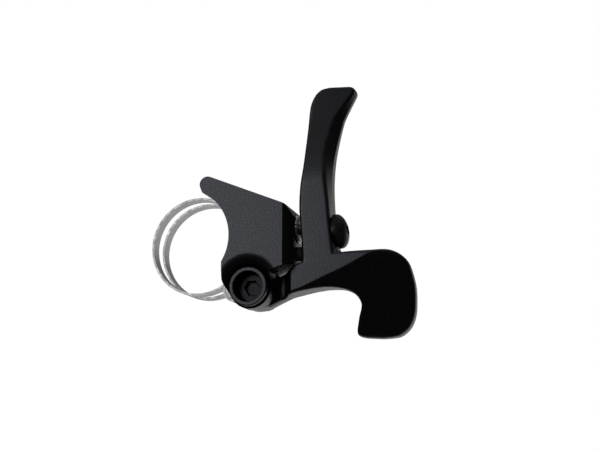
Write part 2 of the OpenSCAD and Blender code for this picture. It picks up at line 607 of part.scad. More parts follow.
// Cable anchor on the lever's right side
dome_out = 17.8;
dome_drop = 0.95;
dome_at = [pivot_x + dome_out, -cable_y, cable_z - dome_drop];
anchor_len = 5.5;
anchor_hex = 2.5;
anchor_hex_depth = 1.4;
module dome_axis() translate(dome_at) rotate([0, 90 - dome_tilt, 0]) children();
anchor_washer_t = 0.6;
dome_rim = 0.6;
module cable_anchor_washer() color(steel) dome_axis() difference() {
    cylinder(h = anchor_washer_t, r = dome_d / 2 - washer_inset);
    translate([0, 0, -over]) cylinder(h = anchor_washer_t + 2 * over, r = anchor_thread_d / 2 + run_gap);
}
module cable_anchor_bolt() color(black) dome_axis() difference() {
    union() {
        translate([0, 0, -anchor_len])
            cylinder(h = anchor_len + anchor_washer_t + dome_rim, r = anchor_thread_d / 2);
        translate([0, 0, anchor_washer_t]) cylinder(h = dome_rim, r = dome_d / 2);
        translate([0, 0, anchor_washer_t + dome_rim]) rotate_extrude()
            polygon(concat([[0, 0]],
                [for (a = [0:11.25:90]) [dome_d / 2 * cos(a), (dome_h - dome_rim) * sin(a)]]));
    }
    translate([0, 0, anchor_washer_t + dome_h - anchor_hex_depth]) hex_socket(anchor_hex, dome_h);
}

perch_body();
clamp_strap();
strap_anchor_pin();
strap_cross_nut();
clamp_bolt();
clamp_washer();
pivot_bolt();
pivot_lock_nut();
pivot_bushing();
spring_guide();
return_spring();
thrust_washer();
lever();
lever_stop_pad();
cable_anchor_bolt();
cable_anchor_washer();
outlet_collar();
outlet_nose();
cable_elbow();
barrel_adjuster();
adjuster_insert();
adjuster_o_ring();
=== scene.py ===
"""Dropper post remote lever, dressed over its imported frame.

A satin black anodised perch and lever, a slotted stainless strap for the
handlebar, and the small parts of the pivot and the cable. The lever and the
outlet's collar are made here in finer form. All else is the frame's own mesh.

Lengths are in metres in the frame's axes: the handlebar runs along Y through
the origin, +X points from the bar to the lever, +Z is up, and the rider's side
is -Y.
"""

import logging
import math
from dataclasses import dataclass, field
from enum import Enum

import bmesh
import bpy
from bpy.types import ID, Material, Mesh, Node, NodeSocket, Object, ShaderNodeTree
from mathutils import Matrix, Vector


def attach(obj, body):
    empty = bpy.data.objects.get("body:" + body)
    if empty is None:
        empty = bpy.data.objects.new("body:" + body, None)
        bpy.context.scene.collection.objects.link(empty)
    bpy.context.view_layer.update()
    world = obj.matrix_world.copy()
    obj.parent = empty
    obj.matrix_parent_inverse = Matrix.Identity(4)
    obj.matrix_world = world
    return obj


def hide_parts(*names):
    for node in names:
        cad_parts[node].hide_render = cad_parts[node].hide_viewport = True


Colour = tuple[float, float, float]

LOG = logging.getLogger("dropper_lever")
MM = 0.001

NO_EDGE = 0.0

PURE_WHITE: Colour = (1.0, 1.0, 1.0)
PALE_GREY: Colour = (0.80, 0.80, 0.80)
SPECKLE_DARK: Colour = (0.0003, 0.0003, 0.0004)
SPECKLE_LIGHT: Colour = (0.0030, 0.0030, 0.0038)
COOL_SHEEN: Colour = (0.86, 0.89, 1.0)
OXIDE_DARK: Colour = (0.003, 0.003, 0.0035)
OXIDE_LIGHT: Colour = (0.009, 0.009, 0.0095)
BLACKENED: Colour = (0.03, 0.03, 0.03)
BLACKENED_DULL: Colour = (0.02, 0.02, 0.02)
BRIGHT_STEEL: Colour = (0.70, 0.70, 0.71)
COLLAR_STEEL: Colour = (0.60, 0.60, 0.61)
STRAP_STEEL: Colour = (0.56, 0.56, 0.57)
COLLAR_STEEL_DULL: Colour = (0.48, 0.48, 0.49)
PLAIN_STEEL: Colour = (0.46, 0.46, 0.47)
PIN_STEEL_DULL: Colour = (0.36, 0.36, 0.37)
WIRE_STEEL_DULL: Colour = (0.34, 0.34, 0.35)
BRASS: Colour = (0.72, 0.52, 0.22)
BRASS_DULL: Colour = (0.55, 0.38, 0.15)
TAN: Colour = (0.20, 0.15, 0.07)
TAN_WORN: Colour = (0.15, 0.11, 0.05)
RUBBER: Colour = (0.018, 0.018, 0.018)
RUBBER_WORN: Colour = (0.028, 0.028, 0.028)
IVORY: Colour = (0.62, 0.61, 0.56)
IVORY_WORN: Colour = (0.52, 0.51, 0.47)


class Slot(str, Enum):
    """The record's material slots that the pieces take their finish from."""

    BODY = "body_anodised"
    LEVER = "lever_anodised"
    COLLAR = "collar_anodised"
    STRAP = "strap_stainless"
    PIN = "pin_steel"
    NOSE = "nose_stainless"
    BOLT = "bolt_black"
    BUSHING = "bushing_polymer"
    SPRING = "spring_steel"
    PAD = "pad_rubber"
    LINER = "liner_polymer"
    INSERT = "insert_brass"


class Grain(Enum):
    """How a metal's surface was worked, as the scale of its noise on X, Y, Z."""

    BLASTED = (1.0, 1.0, 1.0)
    BRUSHED_ROUND_BAR = (0.35, 9.0, 0.35)
    DRAWN = (0.6, 0.6, 0.6)


class Graph:
    """A material's node tree, with short ways to add and join nodes."""

    def __init__(self, tree: ShaderNodeTree) -> None:
        """Empty the tree and keep it.

        Args:
            tree: The node tree of a material or a world.
        """
        tree.nodes.clear()
        self.tree = tree

    def add(self, kind: str, **settings: object) -> Node:
        """Add a node.

        Args:
            kind: Blender's name of the node type.
            **settings: Attributes of the node.

        Returns:
            The new node.
        """
        node = self.tree.nodes.new(kind)
        for name, value in settings.items():
            setattr(node, name, value)
        return node

    def join(self, source: NodeSocket, target: NodeSocket) -> None:
        """Link an output to an input.

        Args:
            source: The output.
            target: The input.
        """
        self.tree.links.new(source, target)

    def noise(self, scale: float, detail: float = 2.0,
              stretch: tuple[float, float, float] = Grain.BLASTED.value) -> NodeSocket:
        """Add a noise texture that is fixed to the object.

        Args:
            scale: Noise cells in a metre.
            detail: Octaves of finer noise.
            stretch: Scale of the noise on X, Y and Z.

        Returns:
            The output that holds the grey value.
        """
        place = self.add("ShaderNodeTexCoord")
        turn = self.add("ShaderNodeMapping")
        turn.inputs["Scale"].default_value = stretch
        texture = self.add("ShaderNodeTexNoise")
        texture.inputs["Scale"].default_value = scale
        texture.inputs["Detail"].default_value = detail
        self.join(place.outputs["Object"], turn.inputs["Vector"])
        self.join(turn.outputs["Vector"], texture.inputs["Vector"])
        return texture.outputs["Fac"]

    def remap(self, source: NodeSocket, low: float, high: float,
              start: float = 0.3, end: float = 0.7) -> NodeSocket:
        """Map a grey value onto a range.

        Args:
            source: Output that holds the grey value.
            low: Result at the start.
            high: Result at the end.
            start: Value that gives the low result.
            end: Value that gives the high result.

        Returns:
            The output that holds the result.
        """
        node = self.add("ShaderNodeMapRange")
        node.inputs["From Min"].default_value = start
        node.inputs["From Max"].default_value = end
        node.inputs["To Min"].default_value = low
        node.inputs["To Max"].default_value = high
        self.join(source, node.inputs["Value"])
        return node.outputs["Result"]

    def mix(self, factor: NodeSocket, first: Colour, second: Colour) -> NodeSocket:
        """Mix two colours by a grey value.

        Args:
            factor: Output that holds the share of the second colour.
            first: Colour at 0.
            second: Colour at 1.

        Returns:
            The output that holds the mixed colour.
        """
        node = self.add("ShaderNodeMix", data_type="RGBA")
        node.inputs["A"].default_value = (*first, 1.0)
        node.inputs["B"].default_value = (*second, 1.0)
        self.join(factor, node.inputs["Factor"])
        return node.outputs["Result"]

    def bump(self, height: NodeSocket, strength: float, depth: float) -> NodeSocket:
        """Turn a grey value into a bumped normal.

        Args:
            height: Output that holds the height.
            strength: Share of the bump that shows.
            depth: Height of the bump in metres.

        Returns:
            The output that holds the normal.
        """
        node = self.add("ShaderNodeBump")
        node.inputs["Strength"].default_value = strength
        node.inputs["Distance"].default_value = depth
        self.join(height, node.inputs["Height"])
        return node.outputs["Normal"]


@dataclass(frozen=True)
class Anodised:
    """A satin black coat on metal, anodised or oxide: blasted, with a fine speckle."""

    name: str
    dark: Colour = SPECKLE_DARK
    light: Colour = SPECKLE_LIGHT
    roughness: float = 0.42
    specular: float = 0.5
    tint: Colour = COOL_SHEEN
    speckle_size: float = 0.0004
    speckle_detail: float = 3.0
    speckle_range: tuple[float, float] = (0.35, 0.68)
    speckle_depth: float = 0.00008
    speckle_shine: float = 0.045
    bump_share: float = 0.35

    def build(self) -> Material:
        """Make the material.

        Returns:
            The finished material.
        """
        material, graph, shader = new_material(self.name)
        fine = graph.noise(1 / self.speckle_size, self.speckle_detail)
        share = graph.remap(fine, 0, 1, *self.speckle_range)
        graph.join(graph.mix(share, self.dark, self.light), shader.inputs["Base Color"])
        graph.join(graph.remap(fine, self.roughness + self.speckle_shine,
                               self.roughness - self.speckle_shine),
                   shader.inputs["Roughness"])
        graph.join(graph.bump(fine, self.bump_share, self.speckle_depth), shader.inputs["Normal"])
        shader.inputs["Specular IOR Level"].default_value = self.specular
        shader.inputs["Specular Tint"].default_value = (*self.tint, 1.0)
        return material


@dataclass(frozen=True)
class Metal:
    """Metal that shows as such: steel, brass or wire, with its grain and faint stains."""

    name: str
    clean: Colour
    dull: Colour
    roughness: float
    grain: Grain = Grain.BLASTED
    grain_size: float = 0.0004
    grain_depth: float = 0.00002
    stain_size: float = 0.0056
    stain_detail: float = 3.0
    smoother: float = 0.07
    rougher: float = 0.09
    bump_share: float = 0.4

    def build(self) -> Material:
        """Make the material.

        Returns:
            The finished material.
        """
        material, graph, shader = new_material(self.name)
        fine = graph.noise(1 / self.grain_size, stretch=self.grain.value)
        stain = graph.noise(1 / self.stain_size, self.stain_detail)
        graph.join(graph.mix(graph.remap(stain, 0, 1), self.clean, self.dull),
                   shader.inputs["Base Color"])
        graph.join(graph.remap(fine, self.roughness - self.smoother, self.roughness + self.rougher),
                   shader.inputs["Roughness"])
        graph.join(graph.bump(fine, self.bump_share, self.grain_depth), shader.inputs["Normal"])
        shader.inputs["Metallic"].default_value = 1.0
        return material


@dataclass(frozen=True)
class Moulded:
    """Rubber or polymer with a faint moulded texture."""

    name: str
    colour: Colour
    worn: Colour
    roughness: float
    texture_size: float = 0.0005
    texture_detail: float = 3.0
    texture_depth: float = 0.00003
    smoother: float = 0.05
    rougher: float = 0.06
    bump_share: float = 0.3

    def build(self) -> Material:
        """Make the material.

        Returns:
            The finished material.
        """
        material, graph, shader = new_material(self.name)
        texture = graph.noise(1 / self.texture_size, self.texture_detail)
        graph.join(graph.mix(graph.remap(texture, 0, 1), self.colour, self.worn),
                   shader.inputs["Base Color"])
        graph.join(graph.remap(texture, self.roughness - self.smoother,
                               self.roughness + self.rougher),
                   shader.inputs["Roughness"])
        graph.join(graph.bump(texture, self.bump_share, self.texture_depth),
                   shader.inputs["Normal"])
        return material


Finish = Anodised | Metal | Moulded


def new_material(name: str) -> tuple[Material, Graph, Node]:
    """Make a material that holds one shader and its output.

    Args:
        name: Name of the material.

    Returns:
        The material, its graph and its shader node.
    """
    material = bpy.data.materials.new(name)
    material.use_nodes = True
    graph = Graph(material.node_tree)
    shader = graph.add("ShaderNodeBsdfPrincipled")
    output = graph.add("ShaderNodeOutputMaterial")
    graph.join(shader.outputs["BSDF"], output.inputs["Surface"])
    return material, graph, shader


FINISHES: dict[Slot, Finish] = {
    Slot.BODY: Anodised("satin_black_body"),
    Slot.LEVER: Anodised("satin_black_lever"),
    Slot.COLLAR: Anodised("satin_black_collar", roughness=0.3),
    Slot.STRAP: Metal("brushed_stainless_strap", STRAP_STEEL, PLAIN_STEEL, 0.52,
                      Grain.BRUSHED_ROUND_BAR, grain_depth=0.000008),
    Slot.PIN: Metal("turned_steel_pins", PLAIN_STEEL, PIN_STEEL_DULL, 0.45, Grain.DRAWN),
    Slot.NOSE: Metal("polished_stainless_nose", BRIGHT_STEEL, COLLAR_STEEL, 0.18),
    Slot.BOLT: Anodised("black_oxide_bolts", OXIDE_DARK, OXIDE_LIGHT, 0.34, specular=0.1),
    Slot.BUSHING: Moulded("bushing_polymer", TAN, TAN_WORN, 0.45),
    Slot.SPRING: Metal("spring_wire", PLAIN_STEEL, WIRE_STEEL_DULL, 0.28, Grain.DRAWN),
    Slot.PAD: Moulded("pad_rubber", RUBBER, RUBBER_WORN, 0.7),
    Slot.LINER: Moulded("liner_polymer", IVORY, IVORY_WORN, 0.4),
    Slot.INSERT: Metal("turned_brass", BRASS, BRASS_DULL, 0.27, Grain.DRAWN),
}

# Pieces whose finish differs from that of their slot
SPECIAL_FINISHES: dict[str, Finish] = {
    "outlet_collar_ribbed": Metal("satin_steel_collar", COLLAR_STEEL, COLLAR_STEEL_DULL, 0.42,
                                  Grain.DRAWN),
    "cable_anchor_washer": Metal("blackened_washer", BLACKENED, BLACKENED_DULL, 0.35),
}


def add_object(name: str, data: ID) -> Object:
    """Make an object of some data and put it in the scene.

    Args:
        name: The object's name.
        data: Its mesh, lamp or camera.

    Returns:
        The object.
    """
    piece = bpy.data.objects.new(name, data)
    bpy.context.scene.collection.objects.link(piece)
    return piece


class Paintbox:
    """Makes each finish once and gives it to the pieces that ask for it."""

    def __init__(self) -> None:
        """Start with no material made."""
        self.made: dict[Slot | str, Material] = {}

    def material(self, slot: Slot, name: str) -> Material:
        """Give a slot's material, or a piece's own.

        Args:
            slot: The record's material slot.
            name: The piece's name.

        Returns:
            The material, made on its first use.
        """
        special = name in SPECIAL_FINISHES
        key = name if special else slot
        if key not in self.made:
            self.made[key] = (SPECIAL_FINISHES[name] if special else FINISHES[slot]).build()
        return self.made[key]

    def coat(self, piece: Object, slot: Slot) -> None:
        """Put a slot's material on the whole of a piece.

        Args:
            piece: The object to coat.
            slot: The record's material slot.
        """
        piece.data.materials.clear()
        piece.data.materials.append(self.material(slot, piece.name))


@dataclass
class SubAssembly:
    """A group of the frame's nodes that are made and finished alike."""

    paint: Paintbox
    nodes: dict[str, Object]
    edge: float = 0.00012
    weld: float = 0.000002
    flat_angle: float = math.radians(1.5)
    crease_angle: float = math.radians(28)
    edge_segments: int = 3
    face_weight: int = 90
    area_step: float = 0.002

    def dress(self, name: str, slot: Slot, edge: float | None = None) -> Object:
        """Coat a node of the frame and break its sharp edges.

        Args:
            name: The node's name.
            slot: The record's material slot.
            edge: Radius of its edges in metres, or the sub-assembly's own.

        Returns:
            The dressed object.
        """
        piece = self.nodes[name]
        self.paint.coat(piece, slot)
        radius = self.edge if edge is None else edge
        if radius > 0:
            self.break_edges(piece, radius)
        LOG.info("%s: %s", name, slot.value)
        return piece

    def break_edges(self, piece: Object, radius: float) -> None:
        """Round a piece's sharp edges with modifiers.

        Args:
            piece: The object.
            radius: Radius of the rounding in metres.
        """
        join = piece.modifiers.new("join", "WELD")
        join.merge_threshold = self.weld
        plain = piece.modifiers.new("plain_faces", "DECIMATE")
        plain.decimate_type = "DISSOLVE"
        plain.angle_limit = self.flat_angle
        rounding = piece.modifiers.new("edges", "BEVEL")
        rounding.width = radius
        rounding.segments = self.edge_segments
        rounding.limit_method = "ANGLE"
        rounding.angle_limit = self.crease_angle
        rounding.use_clamp_overlap = True
        rounding.harden_normals = True
        shading = piece.modifiers.new("flat_faces", "WEIGHTED_NORMAL")
        shading.mode = "FACE_AREA"
        shading.weight = self.face_weight
        shading.thresh = self.area_step
        piece.data.polygons.foreach_set("use_smooth", [True] * len(piece.data.polygons))


@dataclass
class HandlebarClamp(SubAssembly):
    """The slotted stainless strap, its two pins, and the bolt that draws it tight."""

    band_edge: float = 0.00008
    bolt_edge: float = 0.0002

    def build(self) -> None:
        """Dress the strap and what holds it."""
        self.dress("clamp_strap", Slot.STRAP, self.band_edge)
        self.dress("strap_anchor_pin", Slot.PIN)
        self.dress("strap_cross_nut", Slot.PIN)
        self.dress("clamp_bolt", Slot.BOLT, self.bolt_edge)
        self.dress("clamp_washer", Slot.PIN)


@dataclass
class Perch(SubAssembly):
    """The milled body that sits on the bar and carries the pivot."""

    body_edge: float = 0.0003
    pad_edge: float = 0.0002

    def build(self) -> None:
        """Dress the body and the pad that the lever rests on."""
        self.dress("perch_body", Slot.BODY, self.body_edge)
        self.dress("lever_stop_pad", Slot.PAD, self.pad_edge)


@dataclass
class PivotStack(SubAssembly):
    """The pivot's bolt, nut, bushing, guide, washer and spring."""

    head_edge: float = 0.0002

    def build(self) -> None:
        """Dress the pieces on the pivot."""
        self.dress("pivot_bolt", Slot.BOLT, self.head_edge)
        self.dress("pivot_lock_nut", Slot.PIN)
        self.dress("pivot_bushing", Slot.BUSHING)
        self.dress("spring_guide", Slot.BUSHING)
        self.dress("thrust_washer", Slot.PIN, NO_EDGE)
        self.dress("return_spring", Slot.SPRING, NO_EDGE)


Stations = tuple[tuple[float, float], ...]
Ring = list[tuple[float, float, float]]


def ease(t: float) -> float:
    """Give a smooth step between 0 and 1.

    Args:
        t: Place on the step, from 0 to 1.

    Returns:
        The step's height there.
    """
    t = max(0.0, min(1.0, t))
    return t * t * (3.0 - 2.0 * t)


def along(stations: Stations, place: float) -> float:
    """Read a smooth curve through stations.

    Args:
        stations: Pairs of place and value, in rising places.
        place: Where to read.

    Returns:
        The value there.
    """
    last = len(stations) - 1

    def slope(at: int) -> float:
        """Give the curve's slope at a station.

        Args:
            at: Number of the station.

        Returns:
            The slope.
        """
        low, high = stations[max(at - 1, 0)], stations[min(at + 1, last)]
        return (high[1] - low[1]) / (high[0] - low[0])

    i = max((k for k in range(last) if place >= stations[k][0]), default=0)
    (p0, v0), (p1, v1) = stations[i], stations[i + 1]
    w = p1 - p0
    t = (place - p0) / w
    return ((2 * t ** 3 - 3 * t ** 2 + 1) * v0 + (t ** 3 - 2 * t ** 2 + t) * w * slope(i)
            + (3 * t ** 2 - 2 * t ** 3) * v1 + (t ** 3 - t ** 2) * w * slope(i + 1))


def steps(low: float, high: float, step: float) -> list[float]:
    """Give evenly spaced values.

    Args:
        low: First value.
        high: Last value.
        step: Distance between two values, which may give way a little.

    Returns:
        The values.
    """
    count = round((high - low) / step)
    return [low + (high - low) * i / count for i in range(count + 1)]


@dataclass
class LeverForm:
    """The curved forms of the lever in millimetres, X and Z measured from the pivot.

    They are the curves of the lever's solid, taken in finer steps. Stations
    pair a place with a value: heights with X, or X with Z.
    """

    pivot: tuple[float, float] = (15.5, -11.5)
    main_front: float = -12.0
    main_back: float = -4.4
    hub_front: float = -9.4
    hub_back: float = -5.2
    front_step: float = 6.7
    back_step: float = 7.7
    step_w: float = 2.2
    edge: float = 0.6
    edge_parts: int = 3
    paddle_edge: float = 1.3
    edge_from: float = 19.0
    edge_over: float = 5.0
    blade_t: float = 4.4
    paddle_t: float = 4.2
    taper_from: float = 16.5
    taper_over: float = 10.0
    fold_slope: float = math.tan(math.radians(34.0))
    fold_margin: float = 0.1
    fold_rounds: int = 3
    tip: float = 46.2
    tip_stop: float = 0.1
    tip_gap: float = 0.02
    blade_from: float = 17.2
    blade_step: float = 0.4
    arm_from: float = 0.6
    arm_to: float = 14.0
    arm_step: float = 0.1
    paddle_foot: float = -10.6
    blade_sink: float = 0.02
    lean: float = 2.2
    lean_from: float = 23.5
    lean_over: float = 16.0
    thinning: float = 3.2
    thin_from: float = 13.5
    thin_over: float = 22.0
    turn: float = 0.12
    turn_from: float = 25.5
    turn_over: float = 14.0
    turn_about: float = 14.5
    corner_steps: int = 5
    face_steps: int = 8
    side_steps: int = 4
    left: Stations = (
        (2.5, 11), (7.5, 11.2), (12.5, 10.85), (17.5, 10.5), (22.9, 10.6), (29.2, 11.3),
        (35.8, 12.05), (41.4, 12.65), (43.8, 13.5), (45.6, 15.1), (46.2, 17))
    right: Stations = (
        (2.5, 19.5), (7.5, 18.5), (12.5, 17.9), (18, 17.5), (24, 17.45), (29.6, 18),
        (35.8, 19.3), (38.7, 20.1), (41.6, 21.5), (44.3, 22.9), (45, 23.05), (45.9, 22.6),
        (46.2, 21.7))
    cut_right: Stations = (
        (2.5, 0), (18, 0.1), (25.2, 1), (30.7, 1.9), (38, 1.7), (43, 0.7), (46.2, 0))
    cut_left: Stations = (
        (2.5, 0), (17, 0), (22, 0.15), (27, 0.4), (31, 0.3), (36, 0.15), (46.2, 0))
    inner: Stations = (
        (3, -3.95), (7.7, -1.8), (11.2, -0.8), (15.6, -0.1), (19, -0.2), (21.3, -0.85),
        (22.6, -1.9), (23.15, -3.3), (22.9, -4.6), (22.4, -5.9), (22, -7.3), (21.6, -8.8),
        (21.6, -9.7), (22, -10.15), (23, -10.4))
    outer: Stations = (
        (3, 1.6), (7.7, 3.9), (11, 5.6), (15, 7), (20.5, 7.45), (26.5, 7.65), (31, 7.5),
        (34.1, 5.4), (35.2, 1.5), (35.25, -1.7), (34.6, -5.6), (33.2, -8.2), (31.2, -9.8),
        (29.6, -10.3), (27, -10.55))
    crease: Stations = (
        (1.5, -4), (4.5, -2.7), (10.9, -0.3), (16.5, 2.2), (20.6, 3.9), (23.8, 5.5),
        (27.2, 7.2), (30.5, 8.1), (36.5, 8.5))

    def section(self, ru: float, rv: float, fold: float = 0.0) -> Stations:
        """Draw a rounded section, where -1 to 1 spans the width and the thickness.

        Args:
            ru: Corner radius across, as a share of half the width.
            rv: Corner radius in depth, as a share of half the thickness.
            fold: Where the front face folds, from -1 to 1.

        Returns:
            The section's points.
        """
        def corner(u: float, v: float, start: int) -> list[tuple[float, float]]:
            """Round a corner.

            Args:
                u: Centre of its arc across the section.
                v: Centre of its arc in depth.
                start: Quarter turn that the arc starts from.

            Returns:
                The arc's points.
            """
            n = self.corner_steps
            turns = [math.pi / 2 * (start + i / n) for i in range(n + 1)]
            return [(u + ru * math.cos(a), v + rv * math.sin(a)) for a in turns]

        def face(u0: float, middle: float, u1: float, v: float) -> list[tuple[float, float]]:
            """Run across a face by way of a middle point.

            Args:
                u0: Start, which is left out.
                middle: Middle point.
                u1: End, which is left out.
                v: Depth of the face.

            Returns:
                The face's points.
            """
            n = self.face_steps
            return ([(u0 + (middle - u0) * k / n, v) for k in range(1, n + 1)]
                    + [(middle + (u1 - middle) * k / n, v) for k in range(1, n)])

        u, v = 1 - ru, 1 - rv
        fold = max(self.fold_margin - u, min(u - self.fold_margin, fold))
        sides = [v * (1 - 2 * k / self.side_steps) for k in range(1, self.side_steps)]
        return tuple(corner(u, v, 0) + face(u, 0, -u, 1) + corner(-u, v, 1)
                     + [(-1, w) for w in sides] + corner(-u, -v, 2) + face(-u, fold, u, -1)
                     + corner(u, -v, 3) + [(1, -w) for w in sides])

    def drawn_in(self, rest: float, radius: float) -> float:
        """Say how far the faces draw in near a rounded end.

        Args:
            rest: Distance that is left before the end.
            radius: Radius of the end's rounding.

        Returns:
            The depth by which each face draws in.
        """
        return 0.0 if rest >= radius else radius * (1 - math.sqrt(1 - (1 - rest / radius) ** 2))

    def blade_front(self, x: float, z: float) -> float:
        """Give the depth of the blade's front face, which leans back and turns.

        Args:
            x: Place across the blade.
            z: Height above the pivot.

        Returns:
            The depth.
        """
        return (self.main_front + self.blade_sink
                + self.lean * ease((z - self.lean_from) / self.lean_over)
                + self.turn * ease((z - self.turn_from) / self.turn_over) * (x - self.turn_about))

    def blade_ring(self, z: float) -> Ring:
        """Draw the thumb blade's section at a height.

        Args:
            z: Height above the pivot.

        Returns:
            The section's points.
        """
        x0, x1 = along(self.left, z), along(self.right, z)
        w = x1 - x0
        e = min(self.edge, w / self.edge_parts)
        cut0, cut1 = along(self.cut_left, z), along(self.cut_right, z)
        d = self.drawn_in(self.tip - z, self.edge)
        thin = (self.thinning - self.lean) * ease((z - self.thin_from) / self.thin_over)
        back = self.main_back - thin - d
        ring = []
        for u, v in self.section(2 * e / w, 2 * e / self.blade_t):
            cut = max(0.0, -v) * (cut0 * (1 - u) - cut1 * (1 + u)) / 2
            x = (x0 + x1) / 2 + u * w / 2 + cut
            front = self.blade_front(x, z) + d
            ring.append((x, (front + back) / 2 + v * (back - front) / 2, z))
        return ring

    def arm_front(self, x: float, z: float) -> float:
        """Give the depth of the arm's front face, which falls away below the crease.

        Args:
            x: Place to the right of the pivot.
            z: Height above the pivot.

        Returns:
            The depth.
        """
        step = ease((x - self.front_step) / self.step_w)
        return (self.hub_front + (self.main_front - self.hub_front) * step
                + self.fold_slope * max(0.0, along(self.crease, x) - z))

    def arm_back(self, x: float, z: float) -> float:
        """Give the depth of the arm's back face, which thins out towards the paddle.

        Args:
            x: Place to the right of the pivot.
            z: Height above the pivot.

        Returns:
            The depth.
        """
        if x < self.taper_from:
            step = ease((x - self.back_step) / self.step_w)
            return self.hub_back + (self.main_back - self.hub_back) * step
        taper = ease((x - self.taper_from) / self.taper_over)
        thin = self.main_back + (self.main_front + self.paddle_t - self.main_back) * taper
        return max(thin, self.arm_front(x, z) + self.paddle_t)

    def fold_at(self, q0: tuple[float, float], q1: tuple[float, float]) -> float:
        """Find where a line across the arm meets the crease.

        Args:
            q0: The line's point on the inner edge.
            q1: The line's point on the outer edge.

        Returns:
            The place on the line, from -1 to 1.
        """
        share = 0.5
        for _ in range(self.fold_rounds):
            x = q0[0] + share * (q1[0] - q0[0])
            share = (along(self.crease, x) - q0[1]) / (q1[1] - q0[1])
            share = max(0.0, min(1.0, share))
        return 2 * share - 1

    def arm_ring(self, i: float) -> Ring:
        """Draw the arm's section at a place along its matched edges.

        Args:
            i: Number of the station, with its fraction.

        Returns:
            The section's points.
        """
        def at(edge: Stations) -> tuple[float, float]:
            """Give an edge's point.

            Args:
                edge: The edge's stations.

            Returns:
                The point's X and Z.
            """
            return tuple(along(tuple((k, p[axis]) for k, p in enumerate(edge)), i)
                         for axis in (0, 1))

        q0, q1 = at(self.inner), at(self.outer)
        w = math.dist(q0, q1)
        t = self.arm_back(*q1) - self.arm_front(*q1)
        softer = ease((q0[0] - self.edge_from) / self.edge_over)
        e = min(self.edge + (self.paddle_edge - self.edge) * softer, w / self.edge_parts)
        d = self.drawn_in((q0[1] + q1[1]) / 2 - self.paddle_foot, self.paddle_edge)
        fold = self.fold_at(q0, q1) if q1[1] - q0[1] > self.paddle_edge else 0.0
        ring = []
        for u, v in self.section(2 * e / w, 2 * e / t, fold):
            x, z = ((a + b) / 2 + u * (b - a) / 2 for a, b in zip(q0, q1))
            front, back = self.arm_front(x, z) + d, self.arm_back(x, z) - d
            ring.append((x, (front + back) / 2 + v * (back - front) / 2, z))
        return ring

    def rings(self) -> list[list[Ring]]:
        """Draw the rows of sections.

        Returns:
            The row of the blade and the row of the arm.
        """
        heights = steps(self.blade_from, self.tip - self.tip_stop, self.blade_step)
        heights.append(self.tip - self.tip_gap)
        places = steps(self.arm_from, self.arm_to, self.arm_step)
        return [[self.blade_ring(z) for z in heights], [self.arm_ring(i) for i in places]]

    def place(self, point: tuple[float, float, float]) -> Vector:
        """Turn a point measured from the pivot into metres in the frame.

        Args:
            point: The point in millimetres.

        Returns:
            The point in metres.
        """
        return Vector((point[0] + self.pivot[0], point[1], point[2] + self.pivot[1])) * MM


def skin_over(shell: bmesh.types.BMesh, rings: list[list[Vector]]) -> None:
    """Skin over a row of rings and close both ends with a fan.

    Args:
        shell: The mesh that gains the skin.
        rings: The rings' points, with the same count in each.
    """
    rows = [[shell.verts.new(p) for p in ring] for ring in rings]
    count = len(rows[0])
    faces = []
    for low, high in zip(rows, rows[1:]):
        for k in range(count):
            n = (k + 1) % count
            faces.append(shell.faces.new((low[k], low[n], high[n], high[k])))
    for row in (rows[0], rows[-1]):
        centre = shell.verts.new(sum((v.co for v in row), Vector()) / count)
        for k in range(count):
            faces.append(shell.faces.new((row[k], row[(k + 1) % count], centre)))
    bmesh.ops.recalc_face_normals(shell, faces=faces)


